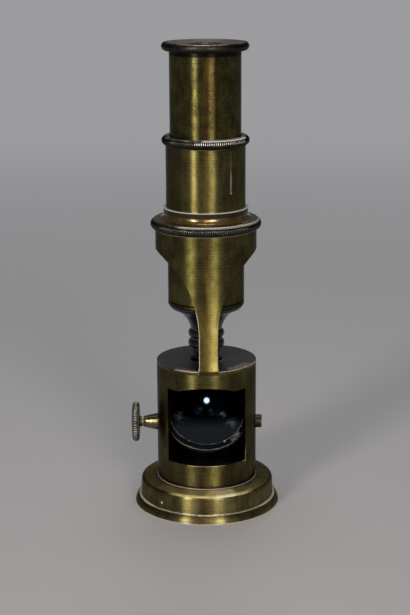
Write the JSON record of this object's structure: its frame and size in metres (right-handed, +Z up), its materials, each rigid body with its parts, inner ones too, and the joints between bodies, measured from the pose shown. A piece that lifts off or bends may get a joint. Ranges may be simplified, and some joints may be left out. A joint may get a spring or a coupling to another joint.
{
  "type": "drum microscope",
  "caption": "Brass drum microscope with a weighted foot, a mirror in a windowed drum, a stage, a cut barrel, a sliding body tube and a draw tube.",
  "frame": {"origin": "centre of the foot's underside, on the surface that the microscope stands on", "axes": "+Z up along the optical tube, -Y towards the window in the drum, -X towards the mirror's knob"},
  "size_m": [0.0581, 0.0568, 0.18],
  "materials": {
    "lacquered_brass": "tarnished lacquer",
    "milled_brass": "handled, darkened",
    "dark_bronze": "dark tarnish",
    "black_brass": "blackened, satin",
    "black_paint": "worn satin",
    "lead": "dull grey",
    "lens_glass": "polished",
    "mirror_glass": "silvered"
  },
  "bodies": {
    "stand": {"foot": "lacquered_brass", "lead_ballast": "lead", "floor_plate": "black_paint", "drum_shell": "lacquered_brass", "stage_plate": "black_paint", "barrel_frame": "lacquered_brass", "slide_collar": "milled_brass", "spring_sleeve": "lacquered_brass", "knob_bearing": "milled_brass", "pivot_bearing": "milled_brass"},
    "mirror": {"mirror_rod": "milled_brass", "mirror_knob": "milled_brass", "mirror_cell": "dark_bronze", "mirror_glass": "mirror_glass", "mirror_bezel": "black_brass"},
    "body": {"body_tube": "lacquered_brass", "body_ring": "milled_brass", "guide_lining": "dark_bronze", "nose_cone": "black_brass", "stop_ring": "black_brass", "upper_cell": "black_brass", "middle_cell": "black_brass", "front_cell": "black_brass", "upper_lens": "lens_glass", "middle_lens": "lens_glass", "front_lens": "lens_glass"},
    "eyepiece": {"eyepiece_tube": "lacquered_brass", "eyepiece_cap": "dark_bronze", "eye_lens": "lens_glass", "eye_lens_ring": "black_brass", "field_stop": "black_brass", "field_cell": "black_brass", "field_lens": "lens_glass", "field_lens_ring": "black_brass"}
  },
  "joints": [
    {"name": "mirror_tilt", "type": "hinge", "parent": "stand", "child": "mirror", "pos_m": [0, 0, 0.0322], "axis": [1, 0, 0], "continuous": true},
    {"name": "focus_slide", "type": "slide", "parent": "stand", "child": "body", "axis": [0, 0, 1], "range_m": [0, 0.03]},
    {"name": "eyepiece_draw", "type": "slide", "parent": "body", "child": "eyepiece", "axis": [0, 0, 1], "range_m": [-0.0314, 0.012]}
  ]
}
